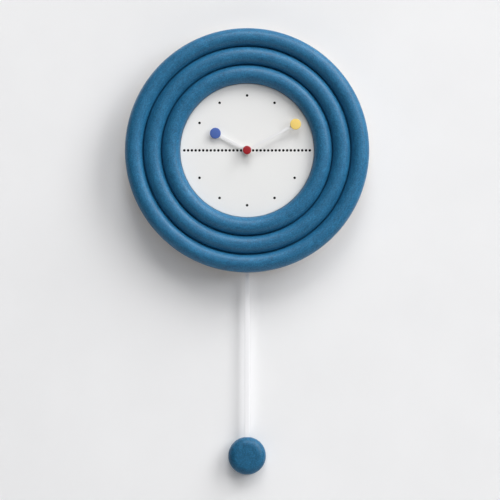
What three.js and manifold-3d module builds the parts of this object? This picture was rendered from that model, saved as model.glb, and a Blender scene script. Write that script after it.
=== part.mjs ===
// Pendulum wall clock: three turned wooden rings round a white dial, a battery movement with a
// pendulum drive behind the dial, and a pendulum that hangs below on a flat rod.
//
// The clock is drawn as it is seen on its wall: x to the right, y up, and z straight out of the
// wall, so a "depth" is always a distance from the wall. The centre of the hands is x = 0, y = 0.
// One outer group stands that drawing upright and puts the origin at the nail on the wall.
// All sizes are in millimetres, and all angles in radians unless a name says degrees.

import * as THREE from "three";
import { mergeVertices } from "three/addons/utils/BufferGeometryUtils.js";
import Module from "manifold-3d";

// ---------------------------------------------------------------- driving dimensions

const NAIL_ABOVE_HANDS = 96;
const SEAT_GAP = 0.1; // between pieces that lie flat on each other

// Wooden rings: three round bars bent to circles that touch each other, with a flat back.
const BAR_RADIUS = 11.25;
const BAR_PITCH = 22.6;
const INNER_RING_RADIUS = 93.5;
const RING_BACK = 17.5;
const BAR_CENTRE_DEPTH = 27.5;

// Backing plate, rear rim and dial.
const PLATE_RADIUS = 144;
const PLATE_BACK = 13.5;
const PLATE_FRONT = RING_BACK - SEAT_GAP;
const RIM_OUTER_RADIUS = 128;
const RIM_INNER_RADIUS = 122;
const RIM_NOTCH_HALF_WIDTH = 20;
const DIAL_RADIUS = INNER_RING_RADIUS - BAR_RADIUS - 0.3; // fits inside the inner ring
const DIAL_FRONT = 26.5; // a thick disc that stands level with the middle of the bars

// Movement case.
const CASE_HALF_WIDTH = 28;
const CASE_TOP = 28;
const CASE_BOTTOM = -76;
const CASE_BACK = 1.5;
const CASE_SEAM = 5;
const CASE_FRONT = 16.5;
const CASE_CORNER = 3;
const CASE_WALL = 1.4;
const CASE_FACE = 1.2;
const BUSH_RADIUS = 3.5;
const BUSH_BORE_RADIUS = 2.75;
const BUSH_FRONT = DIAL_FRONT + 2.2;
const NUT_FRONT = DIAL_FRONT + 1.9;
const NUT_ACROSS_FLATS = 9.5;

// Battery: one AA cell that lies across the top of the case.
const CELL_RADIUS = 7;
const CELL_HALF_LENGTH = 24.2;
const CELL_Y = 19.5;
const CELL_DEPTH = 8.6;

// Hands.
const ARM_WIDTH = 3.3;
const BUTTON_RADIUS = 6.7;
const MINUTE_ARM_LENGTH = 67.3;
const HOUR_ARM_LENGTH = 44.1;
const MINUTE_DEGREES = 61.9; // clockwise from twelve
const HOUR_DEGREES = 298.2;
const HOUR_ARM_BACK = DIAL_FRONT + 2.6;
const MINUTE_ARM_BACK = DIAL_FRONT + 6.6;
const ARM_THICKNESS = 1;
const HOUR_BUTTON_FRONT = DIAL_FRONT + 5.4;
const MINUTE_BUTTON_FRONT = DIAL_FRONT + 9.6;
const CAP_FRONT = DIAL_FRONT + 10.5;
const HUB_RADIUS = 6;
const PAD_RADIUS = 4;
const CAP_RADIUS = 5.15;

// Pendulum.
const PIVOT_Y = -36;
const LEVER_BACK = 5.6;
const LEVER_FRONT = 7;
const HOOK_Y = -84;
const ROD_WIDTH = 5.5;
const ROD_BACK = 7.3;
const ROD_FRONT = 9.3;
const BOB_Y = -376.5;
const BOB_RADIUS = 23.3;
const BOB_BACK = 2.5;
const BOB_FRONT = 18.5;
const BOB_FRONT_ROUNDING = 10.5;
const BOB_BACK_ROUNDING = 5;
const BOB_SCREW_Y = BOB_Y + 14;
const MAGNET_Y = -60;

// Smoothness: flats in a full circle.
const RING_FLATS = 48;
const BOB_FLATS = 32;
const SMALL_FLATS = 12;
const HOLE_FLATS = 8;

// ---------------------------------------------------------------- solids

const wasm = await Module();
wasm.setup();

const WELD_TOLERANCE = 1e-4;

function solidOf(geometry) {
  const bare = geometry.clone();
  bare.deleteAttribute("normal");
  bare.deleteAttribute("uv");
  const welded = mergeVertices(bare, WELD_TOLERANCE);
  const mesh = new wasm.Mesh({
    numProp: 3,
    vertProperties: new Float32Array(welded.attributes.position.array),
    triVerts: new Uint32Array(welded.index.array),
  });
  return new wasm.Manifold(mesh);
}

function geometryOf(solid) {
  const mesh = solid.getMesh();
  const geometry = new THREE.BufferGeometry();
  geometry.setAttribute("position", new THREE.BufferAttribute(mesh.vertProperties, 3));
  geometry.setIndex(new THREE.BufferAttribute(mesh.triVerts, 1));
  geometry.computeVertexNormals();
  return geometry;
}

function join(...parts) {
  return geometryOf(parts.map(solidOf).reduce((whole, part) => whole.add(part)));
}

function carve(body, ...tools) {
  return geometryOf(tools.map(solidOf).reduce((rest, tool) => rest.subtract(tool), solidOf(body)));
}

// ---------------------------------------------------------------- outlines and basic shapes

function polar(radius, angle, x = 0, y = 0) {
  return new THREE.Vector2(x + radius * Math.cos(angle), y + radius * Math.sin(angle));
}

function arc(radius, from, to, steps, x = 0, y = 0) {
  return Array.from({ length: steps + 1 }, (_, i) =>
    polar(radius, from + ((to - from) * i) / steps, x, y),
  );
}

function circle(radius, flats, x = 0, y = 0) {
  return arc(radius, 0, 2 * Math.PI, flats, x, y).slice(0, -1);
}

function roundedBox(left, right, bottom, top, corner) {
  const steps = 3;
  const quarter = Math.PI / 2;
  return [
    ...arc(corner, 0, quarter, steps, right - corner, top - corner),
    ...arc(corner, quarter, 2 * quarter, steps, left + corner, top - corner),
    ...arc(corner, 2 * quarter, 3 * quarter, steps, left + corner, bottom + corner),
    ...arc(corner, 3 * quarter, 4 * quarter, steps, right - corner, bottom + corner),
  ];
}

// A flat piece between two depths, with an outline and any number of hole outlines.
function slab(outline, back, front, holes = []) {
  const shape = new THREE.Shape(outline);
  shape.holes = holes.map((points) => new THREE.Path(points));
  const depth = front - back;
  return new THREE.ExtrudeGeometry(shape, { depth, bevelEnabled: false }).translate(0, 0, back);
}

// A piece turned about an axis that runs out of the wall. The profile lists [radius, depth].
function turned(profile, flats = SMALL_FLATS) {
  const points = profile.map(([radius, depth]) => new THREE.Vector2(radius, depth));
  return new THREE.LatheGeometry(points, flats).rotateX(Math.PI / 2);
}

function pin(radius, back, front, x = 0, y = 0, flats = SMALL_FLATS) {
  const profile = [
    [0, back],
    [radius, back],
    [radius, front],
    [0, front],
  ];
  return turned(profile, flats).translate(x, y, 0);
}

function tube(outerRadius, innerRadius, back, front, flats = SMALL_FLATS) {
  const profile = [
    [innerRadius, back],
    [outerRadius, back],
    [outerRadius, front],
    [innerRadius, front],
    [innerRadius, back],
  ];
  return turned(profile, flats);
}

function block(left, right, bottom, top, back, front) {
  const box = new THREE.BoxGeometry(right - left, top - bottom, front - back);
  return box.translate((left + right) / 2, (bottom + top) / 2, (back + front) / 2);
}

// ---------------------------------------------------------------- the scene graph

function finish(color, roughness, metalness = 0) {
  return new THREE.MeshStandardMaterial({ color, roughness, metalness });
}

const paintedRing = () => finish(0x3b7196, 0.6);
const paleWood = () => finish(0xcdb48a, 0.7);
const whiteEnamel = () => finish(0xe9e9eb, 0.5);
const blackPlastic = () => finish(0x1d1d1f, 0.55);
const naturalPlastic = () => finish(0xe6e2d6, 0.45);
const steel = () => finish(0xa9abad, 0.35, 1);
const brass = () => finish(0xc2a04e, 0.35, 1);
const copperWire = () => finish(0xb06a35, 0.4, 0.8);

function add(parent, name, geometry, material, x = 0, y = 0) {
  const mesh = new THREE.Mesh(geometry, material);
  mesh.name = name;
  mesh.position.set(x, y, 0);
  parent.add(mesh);
  return mesh;
}

// The upright frame: the clock's x, y, depth become x, z, -y, below the nail.
const clock = new THREE.Group();
clock.rotation.x = Math.PI / 2;
clock.position.z = -NAIL_ABOVE_HANDS;

// ---------------------------------------------------------------- screws

// A pan-head screw that points out of the wall, with its head's back at depth `back`.
function screw(back, { head, headHeight, shank, tip }) {
  const headEdge = 0.8;
  const point = 2;
  const profile = [
    [0, back],
    [head - headEdge, back],
    [head, back + headHeight],
    [shank, back + headHeight],
    [shank, tip - point],
    [0, tip],
  ];
  return turned(profile, HOLE_FLATS);
}

// ---------------------------------------------------------------- wooden rings and their screws

const RING_SCREW = { head: 3.2, headHeight: 1.4, shank: 1.5, tip: 25 };
const PILOT_RADIUS = 1.8;
const PILOT_END = 25.8;

// The three screws of a ring keep clear of the hanger at twelve and the pendulum at six.
const rings = ["inner", "middle", "outer"].map((place, index) => ({
  place,
  radius: INNER_RING_RADIUS + index * BAR_PITCH,
  screwAngles: [0, 1, 2].map((turn) => (index % 2) * (Math.PI / 3) + (turn * 2 * Math.PI) / 3),
}));
const screwPlaces = rings.flatMap(({ place, radius, screwAngles }) =>
  screwAngles.map((angle, i) => ({ name: `${place}_ring_screw_${i + 1}`, at: polar(radius, angle) })),
);

function ringBar(radius) {
  const step = Math.PI / 8;
  const flatHalfAngle = Math.acos((BAR_CENTRE_DEPTH - RING_BACK) / BAR_RADIUS);
  const angles = [flatHalfAngle - Math.PI / 2];
  for (let i = -2; i <= 10; i++) angles.push(i * step);
  angles.push((3 * Math.PI) / 2 - flatHalfAngle);
  angles.push(angles[0]);
  return turned(
    angles.map((angle) => {
      const point = polar(BAR_RADIUS, angle, radius, BAR_CENTRE_DEPTH);
      return [point.x, point.y];
    }),
    RING_FLATS,
  );
}

for (const { place, radius, screwAngles } of rings) {
  const pilots = screwAngles.map((angle) => {
    const { x, y } = polar(radius, angle);
    return pin(PILOT_RADIUS, RING_BACK - 1, PILOT_END, x, y, HOLE_FLATS);
  });
  add(clock, `ring_${place}`, carve(ringBar(radius), ...pilots), paintedRing());
}

for (const { name, at } of screwPlaces) {
  const back = PLATE_BACK - SEAT_GAP - RING_SCREW.headHeight;
  add(clock, name, screw(back, RING_SCREW), steel(), at.x, at.y);
}

// ---------------------------------------------------------------- hanger strap: keyhole for the nail

const STRAP_HALF_LENGTH = 25;
const STRAP_FOOT = 8;
const STRAP_SHEET = 1.2;
const STRAP_RISE = 4.2;
const STRAP_BOTTOM = 88;
const STRAP_TOP = 104;
const STRAP_SCREW_X = 21;
const STRAP_SCREW_Y = 96;
const STRAP_HOLE_RADIUS = 1.7;
const STRAP_SCREW = { head: 2.8, headHeight: 1.2, shank: 1.3, tip: PLATE_FRONT - 0.6 };
const KEYHOLE_SLOT_RADIUS = 2;
const KEYHOLE_HEAD_RADIUS = 4;
const KEYHOLE_HEAD_Y = 92;
const KEYHOLE_TOP_Y = NAIL_ABOVE_HANDS + KEYHOLE_SLOT_RADIUS;

function hangerStrap() {
  const foot = PLATE_BACK - SEAT_GAP;
  const bend = STRAP_HALF_LENGTH - STRAP_FOOT;
  const slope = STRAP_RISE;
  const outer = [
    [STRAP_HALF_LENGTH, foot],
    [bend, foot],
    [bend - slope, foot - STRAP_RISE],
  ];
  const inner = outer.map(([x, depth]) => [x, depth - STRAP_SHEET]);
  inner[1][0] += STRAP_SHEET / 2;
  inner[2][0] += STRAP_SHEET / 2;
  const mirror = (points) => points.map(([x, depth]) => [-x, depth]).reverse();
  const loop = [...outer, ...mirror(outer), ...mirror(inner).reverse(), ...inner.reverse()];
  // The loop lies in the x-depth plane, and is extruded upwards.
  const shape = new THREE.Shape(loop.map(([x, depth]) => new THREE.Vector2(x, -depth)));
  const height = STRAP_TOP - STRAP_BOTTOM;
  const bent = new THREE.ExtrudeGeometry(shape, { depth: height, bevelEnabled: false });
  bent.rotateX(-Math.PI / 2).translate(0, STRAP_BOTTOM, 0);
  const past = 3;
  const from = foot - STRAP_RISE - past;
  const to = foot - STRAP_RISE + past / 2;
  const screwHole = (x) => pin(STRAP_HOLE_RADIUS, from, foot + past, x, STRAP_SCREW_Y, HOLE_FLATS);
  return carve(
    bent,
    pin(KEYHOLE_HEAD_RADIUS, from, to, 0, KEYHOLE_HEAD_Y),
    pin(KEYHOLE_SLOT_RADIUS, from, to, 0, KEYHOLE_TOP_Y - KEYHOLE_SLOT_RADIUS),
    screwHole(STRAP_SCREW_X),
    screwHole(-STRAP_SCREW_X),
  );
}

add(clock, "hanger_strap", hangerStrap(), steel());
[-1, 1].forEach((side, i) => {
  const back = PLATE_BACK - 2 * SEAT_GAP - STRAP_SHEET - STRAP_SCREW.headHeight;
  add(clock, `hanger_screw_${i + 1}`, screw(back, STRAP_SCREW), steel(), side * STRAP_SCREW_X, STRAP_SCREW_Y);
});

// ---------------------------------------------------------------- backing plate, rear rim, dial

function backingPlate() {
  const room = 1;
  const right = CASE_HALF_WIDTH + room;
  const cutOut = roundedBox(-right, right, CASE_BOTTOM - room, CASE_TOP + room, CASE_CORNER);
  const clearance = 0.4;
  const ringHole = RING_SCREW.shank + clearance;
  const strapHole = STRAP_SCREW.shank + clearance;
  const screwHoles = screwPlaces.map(({ at }) => circle(ringHole, HOLE_FLATS, at.x, at.y));
  const hangerHoles = [-1, 1].map((side) =>
    circle(strapHole, HOLE_FLATS, side * STRAP_SCREW_X, STRAP_SCREW_Y),
  );
  const holes = [cutOut, ...screwHoles, ...hangerHoles];
  return slab(circle(PLATE_RADIUS, RING_FLATS), PLATE_BACK, PLATE_FRONT, holes);
}

// The rim stands the clock off the wall, and is open at the bottom where the pendulum swings.
function rearRim() {
  const notch = Math.asin(RIM_NOTCH_HALF_WIDTH / RIM_OUTER_RADIUS);
  const from = -Math.PI / 2 + notch;
  const to = (3 * Math.PI) / 2 - notch;
  const steps = 44;
  const outline = [
    ...arc(RIM_OUTER_RADIUS, from, to, steps),
    ...arc(RIM_INNER_RADIUS, to, from, steps),
  ];
  return slab(outline, 0, PLATE_BACK - SEAT_GAP);
}

const BUSH_ROOM = 0.3;
const dialHole = circle(BUSH_RADIUS + BUSH_ROOM, SMALL_FLATS);
const dialOutline = circle(DIAL_RADIUS, RING_FLATS);
add(clock, "backing_plate", backingPlate(), paleWood());
add(clock, "rear_rim", rearRim(), paleWood());
add(clock, "dial_plate", slab(dialOutline, RING_BACK, DIAL_FRONT, [dialHole]), whiteEnamel());

// ---------------------------------------------------------------- gear teeth

// Places of the arbors. The going train runs rotor, intermediate, seconds, third, centre wheel.
// The motion work runs minute arbor, minute wheel, hour wheel, and the setting knob turns it.
const THIRD_ARBOR = polar(10.8, (200 * Math.PI) / 180);
const INTERMEDIATE_ARBOR = polar(9.6, (-110 * Math.PI) / 180);
const ROTOR_ARBOR = polar(7.35, (-60 * Math.PI) / 180, INTERMEDIATE_ARBOR.x, INTERMEDIATE_ARBOR.y);
const MINUTE_WHEEL_ARBOR = polar(10, 0);
const KNOB_ARBOR = polar(10.625, (-30 * Math.PI) / 180, MINUTE_WHEEL_ARBOR.x, MINUTE_WHEEL_ARBOR.y);
const CENTRE = new THREE.Vector2(0, 0);

function direction(from, to) {
  return Math.atan2(to.y - from.y, to.x - from.x);
}

// The angle of a tooth on a gear that meshes with one whose tooth is at `phase`.
function meshedPhase(phase, teeth, from, otherTeeth, to) {
  const along = direction(from, to);
  return along + Math.PI + Math.PI / otherTeeth - ((phase - along) * teeth) / otherTeeth;
}

// Straight-sided teeth with wide gaps, so that coarse teeth run freely at every angle.
// A pinion's gap has a floor, and a wheel's gap comes to a point midway between two teeth.
const MOST_PINION_TEETH = 10;
const ADDENDUM = 0.85; // in modules, as the depth below it is
const PINION_TOOTH = { depth: 1.2, tipHalf: 0.09, rootHalf: 0.22 }; // halves are shares of a pitch
const WHEEL_TOOTH = { depth: 1.7, tipHalf: 0.08, rootHalf: 0.5 };

function gearOutline(teeth, size, phase) {
  const pitch = (2 * Math.PI) / teeth;
  const isPinion = teeth <= MOST_PINION_TEETH;
  const form = isPinion ? PINION_TOOTH : WHEEL_TOOTH;
  const tipRadius = size * (teeth / 2 + ADDENDUM);
  const rootRadius = size * (teeth / 2 - form.depth);
  const tipHalf = form.tipHalf * pitch;
  const rootHalf = form.rootHalf * pitch;
  return Array.from({ length: teeth }, (_, i) => {
    const middle = phase + i * pitch;
    const tooth = [
      polar(rootRadius, middle - rootHalf),
      polar(tipRadius, middle - tipHalf),
      polar(tipRadius, middle + tipHalf),
    ];
    return isPinion ? [...tooth, polar(rootRadius, middle + rootHalf)] : tooth;
  }).flat();
}

// ---------------------------------------------------------------- movement case

const CELL_WALL_BOTTOM = 10.9;
const CELL_WALL_TOP = 12;
const CAVITY_FRONT = CASE_FRONT - CASE_FACE;
const CAVITY_BACK = CASE_BACK + CASE_FACE;
const POST_ROOT = CAVITY_FRONT + 0.3; // posts grow out of the case's face
const TRAIN_PLATE = { left: -26, right: 26, bottom: -20.5, top: 10.5, corner: 2 };
const TRAIN_PLATE_BACK = 6.2;
const TRAIN_PLATE_FRONT = 7.2;
const PILLARS = [
  [-23.5, 7.5],
  [23.5, 7.5],
  [-23.5, -19],
  [23.5, -19],
];
const PILLAR_RADIUS = 1.8;
const STATOR_BACK = 8.9;
const STATOR_FRONT = 9.7;
const STATOR_POSTS = [
  [-14, -21],
  [14, -21],
];
const STATOR_POST_RADIUS = 1.5;
const MAGNET_FRONT = 9.6;
const COIL_RADIUS = 8;
const COIL_BORE_RADIUS = 2.6;
const DRIVE_COIL_BACK = 10.6;
const COIL_POST = { radius: 2.2, back: 11 };
const PIVOT_PIN_RADIUS = 1;
const PIVOT_PIN_FRONT = 12.8;
const PIVOT_POST = { radius: 2.6, back: 9 };
const BOARD_BACK = 12.2;
const BOARD_FRONT = 13.2;
const BOARD_POST = { radius: 1.5, x: 22, y: -34 };
const SOCKET_RADIUS = 0.75; // where an arbor's end turns in plastic
const SOCKET_BACK = 10;
const SOCKET_FRONT = 12.7;
const ARBOR_POST = { radius: 1.6, back: 11.2 };
const STUD = { radius: 0.9, back: 10.7 }; // the minute wheel turns on it
const KNOB_POST = { radius: 2.2, back: 13, boreBack: 12, boreFront: 14.5 };
const KNOB_WELL_RADIUS = 8.2;
const KNOB_WELL_FLOOR = 4.2;
const KNOB_WELL_WALL = 0.8;
const KNOB_WELL_FLOOR_THICKNESS = 0.65;
const KNOB_ARBOR_RADIUS = 1.2;
const KNOB_ARBOR_ROOM = 0.25;
const LEVER_SLOT = { halfWidth: 9, front: 12 }; // open at the bottom, for the swinging lever

const caseOutline = (inset) =>
  roundedBox(
    -CASE_HALF_WIDTH + inset,
    CASE_HALF_WIDTH - inset,
    CASE_BOTTOM + inset,
    CASE_TOP - inset,
    CASE_CORNER - inset,
  );

function cellSpace() {
  const room = CELL_RADIUS + 0.15;
  const length = 2 * (CASE_HALF_WIDTH - CASE_WALL);
  const cell = new THREE.CylinderGeometry(room, room, length, 20).rotateZ(Math.PI / 2);
  return cell.translate(0, CELL_Y, CELL_DEPTH);
}

function frontCase() {
  const past = 2;
  const shell = carve(
    slab(caseOutline(0), CASE_SEAM + SEAT_GAP, CASE_FRONT),
    slab(caseOutline(CASE_WALL), CASE_SEAM - past, CAVITY_FRONT),
  );
  const seam = CASE_SEAM + SEAT_GAP;
  const halfInside = CASE_HALF_WIDTH - CASE_WALL / 2;
  const cellWall = block(-halfInside, halfInside, CELL_WALL_BOTTOM, CELL_WALL_TOP, seam, POST_ROOT);
  const post = (radius, back, { x, y }, flats) => pin(radius, back, POST_ROOT, x, y, flats);
  const pillar = ([x, y]) => post(PILLAR_RADIUS, TRAIN_PLATE_FRONT + SEAT_GAP, { x, y });
  const statorPost = ([x, y]) =>
    post(STATOR_POST_RADIUS, STATOR_FRONT + SEAT_GAP, { x, y }, HOLE_FLATS);
  const whole = join(
    shell,
    cellWall,
    pin(BUSH_RADIUS, POST_ROOT, BUSH_FRONT),
    post(STUD.radius, STUD.back, MINUTE_WHEEL_ARBOR),
    post(ARBOR_POST.radius, ARBOR_POST.back, THIRD_ARBOR),
    post(ARBOR_POST.radius, ARBOR_POST.back, ROTOR_ARBOR),
    post(KNOB_POST.radius, KNOB_POST.back, KNOB_ARBOR),
    ...PILLARS.map(pillar),
    ...STATOR_POSTS.map(statorPost),
    post(PIVOT_POST.radius, PIVOT_POST.back, { x: 0, y: PIVOT_Y }),
    post(COIL_POST.radius, COIL_POST.back, { x: 0, y: MAGNET_Y }),
    post(BOARD_POST.radius, BOARD_FRONT + SEAT_GAP, BOARD_POST, HOLE_FLATS),
  );
  const socket = ({ x, y }) => pin(SOCKET_RADIUS, SOCKET_BACK, SOCKET_FRONT, x, y, HOLE_FLATS);
  const knobBore = KNOB_ARBOR_RADIUS + KNOB_ARBOR_ROOM;
  const { halfWidth, front: slotFront } = LEVER_SLOT;
  const slotTop = CASE_BOTTOM + CASE_WALL + past;
  return carve(
    whole,
    cellSpace(),
    pin(BUSH_BORE_RADIUS, CAVITY_FRONT - past, BUSH_FRONT + past),
    socket(THIRD_ARBOR),
    socket(ROTOR_ARBOR),
    pin(knobBore, KNOB_POST.boreBack, KNOB_POST.boreFront, KNOB_ARBOR.x, KNOB_ARBOR.y),
    pin(PIVOT_PIN_RADIUS + 0.15, PIVOT_POST.back - 1, PIVOT_PIN_FRONT + 0.2, 0, PIVOT_Y),
    block(-halfWidth, halfWidth, CASE_BOTTOM - past, slotTop, CASE_SEAM - past, slotFront),
  );
}

function rearCover() {
  const past = 2;
  const coverFront = CASE_SEAM - SEAT_GAP / 2;
  const shell = carve(
    slab(caseOutline(0), CASE_BACK, coverFront),
    slab(caseOutline(CASE_WALL), CAVITY_BACK, coverFront + past),
  );
  const wellFront = KNOB_WELL_FLOOR + KNOB_WELL_FLOOR_THICKNESS;
  const wellPin = (radius, back, front) => pin(radius, back, front, KNOB_ARBOR.x, KNOB_ARBOR.y, 24);
  const openingHalf = CELL_RADIUS + 0.1;
  const openingEnd = CASE_HALF_WIDTH - CASE_WALL - 1;
  const cellOpening = [-openingEnd, openingEnd, CELL_Y - openingHalf, CELL_Y + openingHalf];
  const socketBack = CAVITY_BACK - 0.5;
  const socket = ({ x, y }) => pin(SOCKET_RADIUS, socketBack, CAVITY_BACK + 1, x, y, HOLE_FLATS);
  return carve(
    join(shell, wellPin(KNOB_WELL_RADIUS, CASE_BACK, wellFront)),
    wellPin(KNOB_WELL_RADIUS - KNOB_WELL_WALL, 0, KNOB_WELL_FLOOR),
    wellPin(KNOB_ARBOR_RADIUS + KNOB_ARBOR_ROOM, 0, wellFront + past),
    block(...cellOpening, 0, CAVITY_BACK + 1),
    socket(CENTRE),
    socket(INTERMEDIATE_ARBOR),
    socket(ROTOR_ARBOR),
  );
}

function trainPlate() {
  const arbors = [CENTRE, INTERMEDIATE_ARBOR, THIRD_ARBOR, ROTOR_ARBOR];
  const holes = arbors.map(({ x, y }) => circle(SOCKET_RADIUS, HOLE_FLATS, x, y));
  const knobHole = KNOB_ARBOR_RADIUS + KNOB_ARBOR_ROOM;
  holes.push(circle(knobHole, SMALL_FLATS, KNOB_ARBOR.x, KNOB_ARBOR.y));
  const { left, right, bottom, top, corner } = TRAIN_PLATE;
  const outline = roundedBox(left, right, bottom, top, corner);
  return slab(outline, TRAIN_PLATE_BACK, TRAIN_PLATE_FRONT, holes);
}

function hexagon(acrossFlats) {
  const corner = acrossFlats / 2 / Math.cos(Math.PI / 6);
  return circle(corner, 6);
}

add(clock, "movement_front_case", frontCase(), blackPlastic());
add(clock, "movement_rear_cover", rearCover(), blackPlastic());
add(clock, "train_plate", trainPlate(), naturalPlastic());
const WASHER_RADIUS = 8;
const washerSeats = [CASE_FRONT + SEAT_GAP, RING_BACK - SEAT_GAP];
const washer = tube(WASHER_RADIUS, BUSH_RADIUS + BUSH_ROOM, ...washerSeats, 20);
add(clock, "sealing_washer", washer, finish(0x2b2b2b, 0.9));
const nutHole = circle(BUSH_RADIUS + 0.2, SMALL_FLATS);
const nut = slab(hexagon(NUT_ACROSS_FLATS), DIAL_FRONT + SEAT_GAP, NUT_FRONT, [nutHole]);
add(clock, "fixing_nut", nut, brass());

// ---------------------------------------------------------------- battery and electrics

function cell() {
  const shoulder = 0.8;
  const nubRadius = 2.6;
  const nubLength = 1;
  const profile = [
    [0, -CELL_HALF_LENGTH],
    [CELL_RADIUS - shoulder, -CELL_HALF_LENGTH],
    [CELL_RADIUS, -CELL_HALF_LENGTH + shoulder],
    [CELL_RADIUS, CELL_HALF_LENGTH - shoulder],
    [CELL_RADIUS - shoulder, CELL_HALF_LENGTH],
    [nubRadius, CELL_HALF_LENGTH],
    [nubRadius, CELL_HALF_LENGTH + nubLength],
    [0, CELL_HALF_LENGTH + nubLength],
  ];
  return turned(profile, 18).rotateY(Math.PI / 2).translate(0, CELL_Y, CELL_DEPTH);
}

// A strip of spring metal in the x-y plane that bulges towards the cell.
function springStrip(side, bulge) {
  const backX = side * (CASE_HALF_WIDTH - CASE_WALL - 0.3);
  const sheet = 0.35;
  const half = 5.5;
  const steps = 6;
  const stripBack = 4;
  const stripFront = 13;
  const rows = Array.from({ length: steps + 1 }, (_, i) => i / steps);
  const bend = (t) => backX - side * bulge * Math.sin(Math.PI * t);
  const height = (t) => CELL_Y - half + 2 * half * t;
  const near = rows.map((t) => new THREE.Vector2(bend(t), height(t)));
  const far = rows.map((t) => new THREE.Vector2(bend(t) - side * sheet, height(t)));
  return slab([...near, ...far.reverse()], stripBack, stripFront);
}

// The stator is one sheet with a window that leaves a straight core for the coil at its bottom.
const CORE_BOTTOM = -29.2;
const CORE_TOP = -24.4;
const STATOR = { half: 16, top: -11.2, corner: 1 };
const STATOR_WINDOW = { half: 12, top: -19.8, corner: 0.5 };
const ROTOR_HOLE_RADIUS = 3.3;

function stator() {
  const { half, top, corner } = STATOR;
  const window = STATOR_WINDOW;
  const outline = roundedBox(-half, half, CORE_BOTTOM, top, corner);
  const opening = roundedBox(-window.half, window.half, CORE_TOP, window.top, window.corner);
  const rotorHole = circle(ROTOR_HOLE_RADIUS, SMALL_FLATS, ROTOR_ARBOR.x, ROTOR_ARBOR.y);
  return slab(outline, STATOR_BACK, STATOR_FRONT, [opening, rotorHole]);
}

function coilWinding() {
  const room = 0.2;
  const radius = 4.4;
  const length = 20;
  const past = 5;
  const spool = new THREE.CylinderGeometry(radius, radius, length, 16).rotateZ(Math.PI / 2);
  spool.translate(0, (CORE_BOTTOM + CORE_TOP) / 2, (STATOR_BACK + STATOR_FRONT) / 2);
  const reach = length / 2 + past;
  const low = [CORE_BOTTOM - room, CORE_TOP + room];
  return carve(spool, block(-reach, reach, ...low, STATOR_BACK - room, STATOR_FRONT + room));
}

// The board stands beside the stator, and the crystal's round can lies along its back.
const BOARD = { left: 17.5, right: 26, bottom: -46, top: -22.5, corner: 0.8 };
const CRYSTAL = { x: 21.5, y: -29, radius: 1, length: 6 };

function circuitBoard() {
  const { left, right, bottom, top, corner } = BOARD;
  return slab(roundedBox(left, right, bottom, top, corner), BOARD_BACK, BOARD_FRONT);
}

function crystalCan() {
  const { x, y, radius, length } = CRYSTAL;
  const can = new THREE.CylinderGeometry(radius, radius, length, 10);
  return can.translate(x, y, BOARD_BACK - SEAT_GAP - radius);
}

add(clock, "battery_cell", cell(), finish(0xb9bcc0, 0.35, 0.9));
add(clock, "battery_contact_positive", springStrip(1, 0.3), steel());
add(clock, "battery_contact_negative", springStrip(-1, 1.3), steel());
add(clock, "stator", stator(), steel());
add(clock, "coil_winding", coilWinding(), copperWire());
add(clock, "circuit_board", circuitBoard(), finish(0x2e6b3f, 0.5));
add(clock, "quartz_crystal", crystalCan(), steel());
const driveCoil = tube(COIL_RADIUS, COIL_BORE_RADIUS, DRIVE_COIL_BACK, CAVITY_FRONT - SEAT_GAP, 20);
add(clock, "drive_coil", driveCoil, copperWire(), 0, MAGNET_Y);

// ---------------------------------------------------------------- going train

// Tooth counts and modules of the meshing pairs. Each centre distance is set by its pair.
const MODULE = { rotor: 0.35, fast: 0.4, third: 0.4235, centre: 0.4, minute: 0.625, hour: 0.5 };
const TEETH = {
  rotorPinion: 6,
  intermediateWheel: 36,
  intermediatePinion: 8,
  secondsWheel: 40,
  secondsPinion: 6,
  thirdWheel: 45,
  thirdPinion: 6,
  centreWheel: 48,
  cannonPinion: 8,
  minuteWheel: 24,
  minutePinion: 8,
  hourWheel: 32,
  knobPinion: 10,
};
const ARBOR_RADIUS = 0.5;
const ROTOR_ARBOR_RADIUS = 0.4;
const ROTOR_MAGNET_RADIUS = 2.8;
const REAR_SOCKET_END = 2.4; // where an arbor ends in the rear cover
const FRONT_SOCKET_END = 12.4; // where an arbor ends in a post of the front case
const ARBOR_INSET = 0.1; // how far an arbor stops short of the far side of the train plate
const SECONDS_ARBOR_FRONT = 9;
const CENTRE_HUB_RADIUS = 2.7;
const CENTRE_BORE_RADIUS = 1.65;

// Between which two depths each wheel, pinion and magnet lies.
const LAYER = {
  rotorPinion: [2.9, 4.3],
  rotorMagnet: [7.9, 10.4],
  intermediateWheel: [3.2, 4],
  intermediatePinion: [3.8, 5.9],
  secondsWheel: [4.8, 5.6],
  secondsPinion: [7.5, 8.9],
  thirdWheel: [7.8, 8.6],
  thirdPinion: [8.5, 10.5],
  centreWheel: [9.4, 10.2],
  centreHub: [9.4, 10.8],
  cannonPinion: [11, 12.2],
  minuteWheel: [11.2, 12],
  minutePinion: [11.8, 14.2],
  hourWheel: [12.9, 13.8],
  knobPinion: [10.9, 12.3],
};

// A wheel or pinion by its name in TEETH and LAYER. Its tooth size is its module.
function toothed(name, size, phase = 0) {
  return slab(gearOutline(TEETH[name], size, phase), ...LAYER[name]);
}

function arbor(back, front, radius = ARBOR_RADIUS) {
  return pin(radius, back, front, 0, 0, HOLE_FLATS);
}

// The phase of a wheel that meshes with a pinion, whose tooth points along x.
function wheelPhase(pinionTeeth, pinionArbor, wheelTeeth, wheelArbor) {
  return meshedPhase(0, pinionTeeth, pinionArbor, wheelTeeth, wheelArbor);
}

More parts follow.
